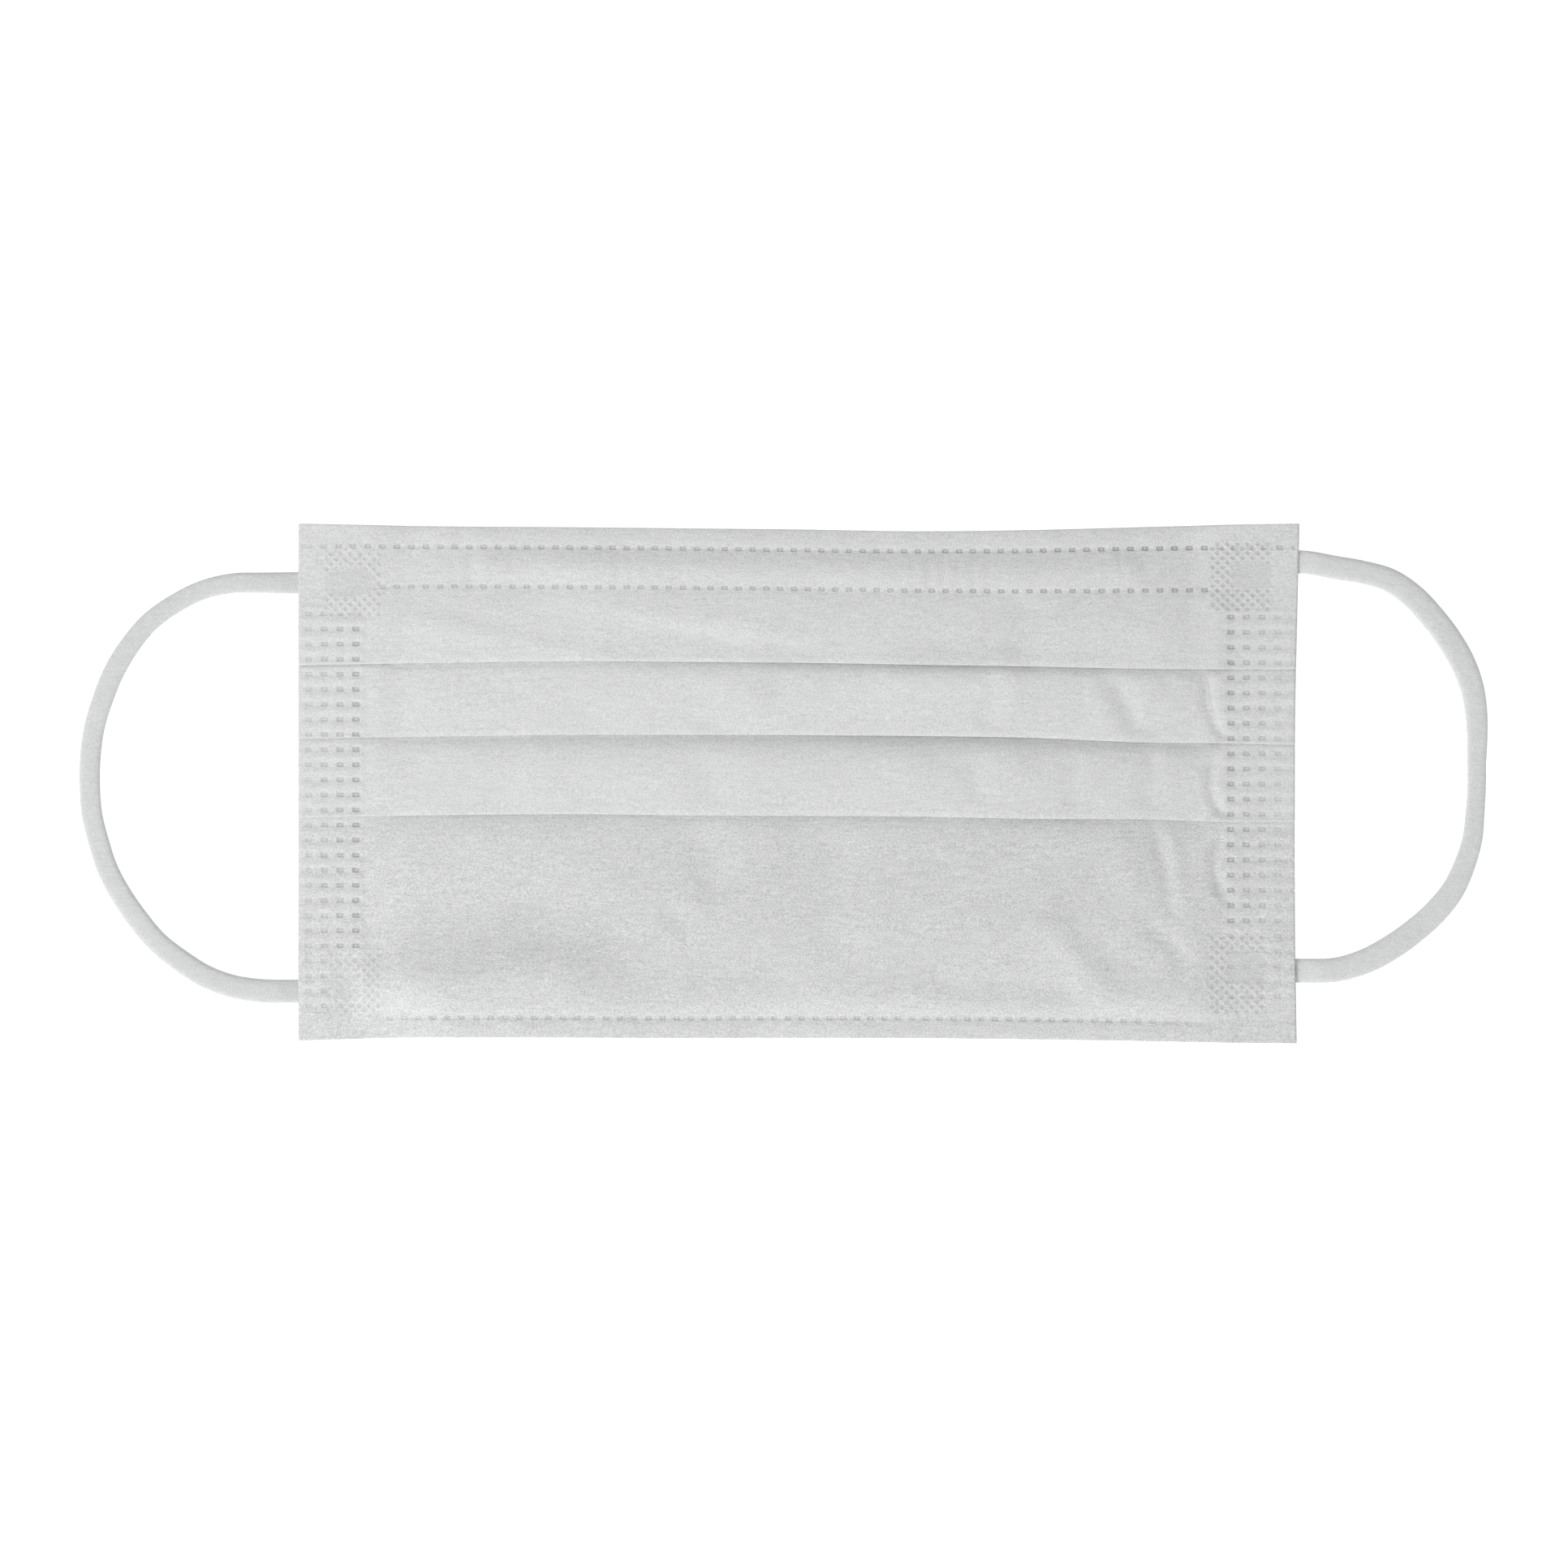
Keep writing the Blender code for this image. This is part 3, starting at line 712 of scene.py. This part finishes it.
# Dotted squares at the corners: extent, first dot, pitch along the two diagonals, and their smooth oval
PADS = [
    {
        "x": (-83.0, -73.2), "y": (29.0, 41.0),
        "dot": (-82.8, 39.37), "pitch": (1.68, 1.764),
        "oval": "upper_left", "strength": 0.7,
    },
    {
        "x": (72.2, 83.0), "y": (30.2, 42.4),
        "dot": (73.54, 40.36), "pitch": (1.764, 1.642),
        "oval": "upper_right", "strength": 0.95,
    },
    {
        "x": (71.9, 82.0), "y": (-40.6, -26.4),
        "dot": (72.53, -27.1), "pitch": (1.764, 1.735),
        "oval": "lower_right", "strength": 0.8,
    },
    {
        "x": (-82.5, -73.0), "y": (-41.0, -29.5),
        "dot": (-81.9, -30.05), "pitch": (1.66, 1.778),
        "oval": "lower_left", "strength": 0.55,
    },
]
# Smooth welds over the loop ends
OVALS = {
    "upper_left": {"middle": (-78.8, 35.3), "half": (3.9, 2.5), "strength": 1.0},
    "upper_right": {"middle": (79.4, 36.6), "half": (3.5, 2.45), "strength": 1.0},
    "lower_right": {"middle": (78.5, -32.3), "half": (3.7, 2.7), "strength": 0.9},
    "lower_left": {"middle": (-79.9, -35.4), "half": (3.4, 2.3), "strength": 0.5},
}


def oval_share(x, y, oval):
    """1 inside a loop end's smooth weld, 0 outside it."""
    u = np.abs(x - oval["middle"][0]) / oval["half"][0]
    v = np.abs(y - oval["middle"][1]) / oval["half"][1]
    return oval["strength"] * (1 - smoothstep(((u**3 + v**3) ** (1 / 3) - 0.93) / 0.16))


def weld_cells(x, y):
    """Cell coordinates and strength of the dashes and of the dots, and the share of the smooth ovals."""
    dash = np.zeros(x.shape + (3,))
    dots = np.zeros(x.shape + (3,))
    ovals = np.zeros_like(x)
    for pad in PADS:
        p = (x - pad["dot"][0]) / pad["pitch"][0]
        q = (y - pad["dot"][1]) / pad["pitch"][1]
        strength = pad["strength"] * window(x, *pad["x"], 0.8) * window(y, *pad["y"], 0.8)
        oval = oval_share(x, y, OVALS[pad["oval"]])
        near_x = window(x, pad["x"][0] - 2, pad["x"][1] + 2, 0.1)
        near_y = window(y, pad["y"][0] - 2, pad["y"][1] + 2, 0.1)
        inside = near_x * near_y > 0
        values = np.stack([p + q, p - q, strength * (1 - oval)], axis=-1)
        dots = np.where(inside[..., None], values, dots)
        ovals = np.maximum(ovals, oval)
    pads = np.clip(dots[..., 2] + ovals, 0, 1)
    ridges = np.zeros_like(x)
    for band in BANDS:
        u = (x - band["first"][0]) / band["pitch"][0]
        v = (y - band["first"][1]) / band["pitch"][1]
        along = window(x, *band["x"], 0.5) * window(y, *band["y"], 0.5)
        strength = along * COLUMN_STRENGTH[np.clip(np.round(np.abs(u)), 0, 4).astype(int)]
        inside = np.abs(x) > BAND_START - 5.0
        inside = inside & (x * band["first"][0] > 0)
        ridges += along * (0.5 - 0.5 * np.cos(2 * math.pi * v)) * (1 - pads)
        shown = strength * np.where(dots[..., 2] > 0.05, 0.35, 1 - ovals)
        dash = np.where(inside[..., None], np.stack([u, v, shown], axis=-1), dash)
    share = read_curve(DASH_STRENGTH["place"], DASH_STRENGTH["share"], x / HALF_LENGTH)
    count = read_curve(DASH_COUNT["place"], DASH_COUNT["count"], x)
    low_count = read_curve(DASH_COUNT["place"], DASH_COUNT["count"], x - ROW_3_SHIFT)
    hems = (
        (count, y - line_y(x, "row_1"), share * window(x, -87.2, 87.2, 1.0)),
        (count, y - line_y(x, "row_2"), share * window(x, -73.8, 73.5, 1.0)),
        (low_count, y - line_y(x, "bottom") - BOTTOM_ROW_RISE, 0.6 * window(x, -74.0, 64.0, 14.0)),
    )
    for number, away, strength in hems:
        free = ~((dash[..., 2] > 0) & (np.abs(x) > BAND_START - 5.0)) | (np.abs(away) < 1.1)
        inside = (np.abs(away) < 2.2) & free
        strength = strength * window(away, -0.9, 0.9, 0.3) * (1 - 0.6 * np.clip(dots[..., 2], 0, 1))
        values = np.stack([number, away / DASH_PITCH, strength], axis=-1)
        dash = np.where(inside[..., None], values, dash)
    return dash, dots, ovals, ridges


# Creases: start x, y, end x, y, how far the middle bows to the left of the way, half width, depth
CREASES = [
    (-70.4, 31.4, -20.9, 21.9, 0.0, 2.2, 0.22),
    (-47.9, 30.1, 5.1, 22.4, 0.0, 2.2, 0.32),
    (-66.0, 28.6, -24.0, 20.6, 0.0, 1.7, -0.16),
    (-36.0, 30.6, 6.0, 24.6, 0.0, 1.6, -0.14),
    (54.6, 18.8, 60.0, 8.4, 0.2, 1.9, 0.46),
    (66.0, 18.6, 60.6, 8.8, 0.3, 1.6, 0.24),
    (50.6, 18.6, 55.0, 9.4, 0.0, 2.0, -0.20),
    (34.9, 18.9, 32.4, 9.6, 0.0, 2.2, 0.36),
    (31.4, 4.2, 31.0, -3.6, 0.0, 2.4, 0.34),
    (62.4, 5.4, 60.6, -4.2, 0.3, 2.0, 0.42),
    (48.8, 4.6, 47.5, -4.0, 0.0, 2.0, 0.26),
    (-16.6, 4.6, -15.5, -3.8, 0.0, 2.6, 0.24),
    (62.4, -7.4, 65.4, -24.4, 0.6, 1.5, 0.42),
    (60.6, -24.6, 68.2, -32.6, 0.8, 1.9, 0.46),
    (57.2, -9.0, 58.6, -21.0, 0.0, 2.6, -0.22),
    (-84.0, -36.4, -34.0, -31.8, 0.0, 5.0, -1.25),
    (40.0, 32.6, 37.2, 22.8, 0.0, 3.4, 0.36),
    (-78.0, -24.0, -44.0, -19.5, 0.0, 4.2, 0.30),
    (12.0, 19.4, 40.5, 19.2, 0.0, 3.4, -0.42),
    (-24.3, -21.8, -18.5, -25.2, 0.0, 2.2, 0.36),
    (21.6, -35.4, 49.9, -36.8, 0.0, 2.6, 0.50),
    (41.7, -23.0, 55.8, -38.2, 0.0, 3.2, -0.55),
    (-16.5, 17.0, -16.0, 9.0, 0.0, 3.2, 0.30),
    (-7.5, 17.5, -7.0, 9.5, 0.0, 3.0, -0.25),
    (6.0, -8.0, 4.0, -30.0, 1.0, 4.2, 0.40),
    (-18.0, -8.0, -14.0, -20.0, 0.0, 4.0, 0.40),
    (71.6, 19.4, 74.6, 7.6, -1.0, 1.15, 0.50),
    (73.4, 5.0, 74.6, -6.2, -1.6, 1.15, 0.50),
    (74.4, -9.0, 74.9, -20.8, -1.5, 1.2, 0.50),
    (64.9, -8.4, 65.4, -22.6, 1.0, 1.7, -0.30),
]


def creases(x, y):
    """Soft furrows, and ridges where the depth is negative, tapering off at both ends."""
    found = np.zeros_like(x)
    for x0, y0, x1, y1, bow, width, depth in CREASES:
        length = math.hypot(x1 - x0, y1 - y0)
        along = ((x - x0) * (x1 - x0) + (y - y0) * (y1 - y0)) / length**2
        side = ((x - x0) * -(y1 - y0) + (y - y0) * (x1 - x0)) / length
        side = side - bow * 4 * along * (1 - along)
        taper = smoothstep((along + 0.08) / 0.25) * smoothstep((1.08 - along) / 0.25)
        found -= depth * taper * np.exp(-((side / width) ** 2))
    return found


def undulation(x, y, seed, waves, size):
    """Broad soft unevenness from a few slanted waves with seeded directions."""
    random = np.random.RandomState(seed)
    found = np.zeros_like(x)
    for _ in range(waves):
        wavelength = random.uniform(9.0, 34.0)
        heading = random.uniform(-0.5, 0.5) + (math.pi / 2 if random.rand() < 0.35 else 0.0)
        phase = random.uniform(0, 2 * math.pi)
        found += np.sin(2 * math.pi * (x * math.cos(heading) + y * math.sin(heading)) / wavelength + phase)
    return size * found / math.sqrt(waves)


def gathers(x, y):
    """Small radial puckers that the weld rows pull into the top hem."""
    drop = line_y(x, "top") - y
    ridge = np.clip((drop - FIRST_ROW_DROP) / (SECOND_ROW_DROP - FIRST_ROW_DROP), 0, 1)
    places = ((-30.5, 4.5, 0.7), (26.0, 7.0, 1.0), (57.0, 4.0, 0.6), (-58.0, 4.0, 0.5))
    found = np.zeros_like(x)
    for middle, reach, strength in places:
        found += strength * np.exp(-(((x - middle) / reach) ** 2)) * np.sin(2 * math.pi * x / 2.6)
    return GATHER_HEIGHT * found * np.sin(math.pi * ridge)


def relief(x, y):
    """What the welds and creases do at each place: heights in mm and the cells of the weld marks."""
    middle = 1 - smoothstep((np.abs(x) - BAND_START + 0.8) / 2.4)
    dash, dots, ovals, ridges = weld_cells(x, y)
    pits = np.clip(dash[..., 2], 0, 1) * marks_at(dash[..., 0], dash[..., 1], DASH_HALF, (0.07, 0.06))
    specks = dots[..., 2] * marks_at(dots[..., 0], dots[..., 1], DOT_HALF, (0.12, 0.12))
    broad = middle * (creases(x, y) + undulation(x, y, 5, 14, WAVE_HEIGHT) + gathers(x, y))
    broad = broad * smoothstep((line_y(x, "top") - y) / 3.0) * smoothstep((y - line_y(x, "bottom")) / 3.0)
    fine = RIDGE_HEIGHT * ridges - DASH_DEPTH * pits - DOT_DEPTH * specks - OVAL_DEPTH * ovals
    return {"broad": broad, "fine": fine, "dash": dash, "dots": dots, "ovals": ovals}


def swell(x, y):
    """How far the whole stack of layers stands off the floor at its soft middle."""
    left, right = (np.interp(y, SWELL["y"], SWELL[side]) for side in ("left", "right"))
    fading = 1 - smoothstep((np.abs(x) - BAND_START + SWELL_SPAN) / SWELL_SPAN)
    return fading * (left + (right - left) * smoothstep((x + 50.0) / 45.0))


def surface_normals(points):
    """Normals of a grid of points, pointing to the sheet's outer side."""
    down = np.gradient(points, axis=0)
    across = np.gradient(points, axis=1)
    normals = np.cross(down, across)
    return normals / np.maximum(np.linalg.norm(normals, axis=2), 1e-9)[:, :, None]


def edge_shift(x, y):
    """How far the side bands are drawn out, less the right edge's hollow between its corners."""
    below = (HALF_HEIGHT - y) / (2 * HALF_HEIGHT)
    hollow = RIGHT_EDGE_BOW * read_curve(RIGHT_EDGE["place"], RIGHT_EDGE["hollow"], below)
    left, right = (np.clip((side * x - BAND_START) / BAND_WIDTH, 0, 1) for side in (-1, 1))
    return (EDGE_REACH - hollow) * right - EDGE_REACH * left


class Patch:
    """A grid of the sheet's outer or inner face, with the numbers of its points in the whole mesh."""

    def __init__(self, store, x, spacing, outer):
        points, self.t, seen = Sheet(x, spacing).build()
        points[:, :, 0] += edge_shift(points[:, :, 0], points[:, :, 1])
        found = relief(points[:, :, 0], points[:, :, 1])
        points[:, :, 2] += found["broad"] + swell(points[:, :, 0], points[:, :, 1])
        points[:, :, 2] = np.maximum(points[:, :, 2], CLOTH / 2 + 0.01)
        half = cloth_thickness(points[:, :, 0]) / 2
        offset = half + found["fine"] * seen[:, None] if outer else -half
        points = points + surface_normals(points) * offset[:, :, None]
        self.x = x
        self.numbers = store.add(points, found)
        self.outer = outer

    def faces(self):
        n = self.numbers
        corners = (n[:-1, :-1], n[1:, :-1], n[1:, 1:], n[:-1, 1:])
        if not self.outer:
            corners = corners[::-1]
        return np.stack([c.ravel() for c in corners], axis=1).tolist()


class Store:
    """The points of one mesh and the weld cells at them, added a patch at a time."""

    def __init__(self):
        self.points, self.dash, self.dots, self.ovals, self.count = [], [], [], [], 0

    def add(self, points, found):
        numbers = self.count + np.arange(points.shape[0] * points.shape[1]).reshape(points.shape[:2])
        self.points.append(points.reshape(-1, 3))
        self.dash.append(found["dash"].reshape(-1, 3))
        self.dots.append(found["dots"].reshape(-1, 3))
        self.ovals.append(found["ovals"].ravel())
        self.count += numbers.size
        return numbers


def stitch(first, first_t, second, second_t):
    """Triangles between two rows of points that run the same way with different spacings."""
    faces = []
    i = j = 0
    while i < len(first) - 1 or j < len(second) - 1:
        if j == len(second) - 1 or (i < len(first) - 1 and first_t[i + 1] <= second_t[j + 1]):
            faces.append((int(first[i]), int(first[i + 1]), int(second[j])))
            i += 1
        else:
            faces.append((int(first[i]), int(second[j + 1]), int(second[j])))
            j += 1
    return faces


def make_mask_sheet(material):
    """The folded sheet as one closed skin: fine bands, a middle, and a coarser inner face."""
    fine_start = 71.6
    columns = np.arange(0, 69 * 5 + 1) / 5
    middle_x = read_curve(DASH_COUNT["count"], DASH_COUNT["place"], columns)
    middle_x = middle_x[np.abs(middle_x) < fine_start]
    band_x = np.linspace(fine_start + 0.2, HALF_LENGTH, 42)
    inner_end = np.linspace(66, HALF_LENGTH, 10)
    inner_x = np.r_[-inner_end[::-1], np.linspace(-64, 64, 60), inner_end]
    store = Store()
    left = Patch(store, -band_x[::-1], 0.36, True)
    middle = Patch(store, middle_x, 1.0, True)
    right = Patch(store, band_x, 0.36, True)
    inner = Patch(store, inner_x, 2.6, False)
    faces = left.faces() + middle.faces() + right.faces() + inner.faces()
    faces += stitch(left.numbers[:, -1], left.t, middle.numbers[:, 0], middle.t)
    faces += stitch(middle.numbers[:, -1], middle.t, right.numbers[:, 0], right.t)
    smooth = len(faces)
    outer_x = np.r_[left.x, middle.x, right.x]
    for row in (0, -1):
        outer_row = np.r_[left.numbers[row], middle.numbers[row], right.numbers[row]]
        faces += stitch(outer_row, outer_x, inner.numbers[row], inner.x)
    for patch, end in ((left, 0), (right, -1)):
        faces += stitch(patch.numbers[:, end], patch.t, inner.numbers[:, end], inner.t)
    verts = np.concatenate(store.points)
    sheet = make_mesh("mask_sheet", verts, faces, material, smooth)
    for name, values in (("dash_cell", store.dash), ("dot_cell", store.dots)):
        attribute = sheet.data.attributes.new(name, "FLOAT_VECTOR", "POINT")
        attribute.data.foreach_set("vector", np.concatenate(values).astype(np.float32).ravel())
    attribute = sheet.data.attributes.new("oval_share", "FLOAT", "POINT")
    attribute.data.foreach_set("value", np.concatenate(store.ovals).astype(np.float32))
    turn_outwards(sheet)
    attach(sheet, "root")
    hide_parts("mask_body")


def turn_outwards(piece):
    """Makes the faces of a closed mesh face outwards."""
    mesh = bmesh.new()
    mesh.from_mesh(piece.data)
    bmesh.ops.recalc_face_normals(mesh, faces=mesh.faces)
    mesh.to_mesh(piece.data)
    mesh.free()


def make_nose_strip(material):
    """The flat strip inside the top hem, with rounded long edges and ends."""
    steps = 80
    x = np.linspace(WIRE_LEFT_END, WIRE_RIGHT_END, steps)
    sides = 16
    angle = np.linspace(0, 2 * math.pi, sides, endpoint=False)
    across = np.sign(np.cos(angle)) * np.abs(np.cos(angle)) ** 0.3
    up = np.sign(np.sin(angle)) * np.abs(np.sin(angle)) ** 0.6
    end = np.minimum(x - x[0], x[-1] - x) / 1.2
    narrow = np.sqrt(np.clip(1 - (1 - np.clip(end, 0, 1)) ** 2, 0.12, 1))
    middle_y = line_y(x, "top") - WIRE_MIDDLE_DROP
    y = middle_y[:, None] + across * narrow[:, None] * WIRE_WIDTH / 2
    z = CLOTH + 0.08 + WIRE_THICKNESS / 2 * (1 + up[None, :] * np.ones((steps, 1)))
    verts = np.stack([x[:, None] + 0 * y, y, z], axis=2).reshape(-1, 3)
    faces = []
    for i in range(steps - 1):
        for j in range(sides):
            k = (j + 1) % sides
            faces.append((i * sides + j, i * sides + k, (i + 1) * sides + k, (i + 1) * sides + j))
    faces.append(tuple(range(sides)))
    faces.append(tuple((steps - 1) * sides + j for j in range(sides)))
    strip = make_mesh("nose_strip", verts, faces, material)
    turn_outwards(strip)
    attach(strip, "root")
    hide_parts("nose_wire")


# Stage and light


def make_stage():
    nodes = Nodes("floor_white")
    nodes.shader.inputs["Base Color"].default_value = (0.93, 0.93, 0.93, 1.0)
    nodes.shader.inputs["Roughness"].default_value = 0.9
    nodes.shader.inputs["Emission Color"].default_value = (1.0, 1.0, 1.0, 1.0)
    nodes.shader.inputs["Emission Strength"].default_value = FLOOR_GLOW
    data = bpy.data.meshes.new("floor")
    size = 3.0
    corners = [(-size, -size, 0), (size, -size, 0), (size, size, 0), (-size, size, 0)]
    data.from_pydata(corners, [], [(0, 1, 2, 3)])
    data.materials.append(nodes.material)
    floor = bpy.data.objects.new("floor", data)
    bpy.context.scene.collection.objects.link(floor)


def aim(light, place):
    """Puts a light at a place, pointing at the frame's origin."""
    toward = -np.array(place)
    light.location = place
    pitch = math.acos(-toward[2] / np.linalg.norm(toward))
    heading = math.atan2(toward[1], toward[0])
    light.rotation_euler = (pitch, 0.0, heading - math.pi / 2)
    bpy.context.scene.collection.objects.link(light)


def make_light():
    world = bpy.data.worlds.new("studio")
    world.use_nodes = True
    background = world.node_tree.nodes["Background"]
    background.inputs["Color"].default_value = (1.0, 1.0, 1.0, 1.0)
    background.inputs["Strength"].default_value = SKY
    bpy.context.scene.world = world
    key = bpy.data.lights.new("key", "SUN")
    key.angle = KEY_ANGLE
    key.energy = KEY_STRENGTH
    aim(bpy.data.objects.new("key", key), KEY_FROM)
    lamp = bpy.data.lights.new("lamp", "AREA")
    lamp.shape = "DISK"
    lamp.size = LAMP_SIZE
    lamp.energy = LAMP_POWER
    aim(bpy.data.objects.new("lamp", lamp), LAMP_PLACE)
    bpy.context.scene.view_settings.view_transform = "Standard"


make_camera()
# Both loops are the same elastic; the left one is drawn darker as painted shade, against the stronger lamp
# light on the left.
left_loop_painted_shade_look = fibre_material("left_elastic_painted_shade_look", (0.566, 0.570, 0.574), 0.70, 0.15, 0.06, 0.1, False)
right_look = fibre_material("right_elastic_look", (0.604, 0.608, 0.612), 0.70, 0.15, 0.06, 0.1, False)
make_ear_loop("left", LEFT_ROUTE, left_loop_painted_shade_look, 3)
make_ear_loop("right", RIGHT_ROUTE, right_look, 8)
sheet_look = fibre_material("nonwoven_look", (0.604, 0.608, 0.608), 1.0, 0.20, 0.06, 0.1, True)
make_mask_sheet(sheet_look)
make_nose_strip(wire_material())
make_stage()
make_light()
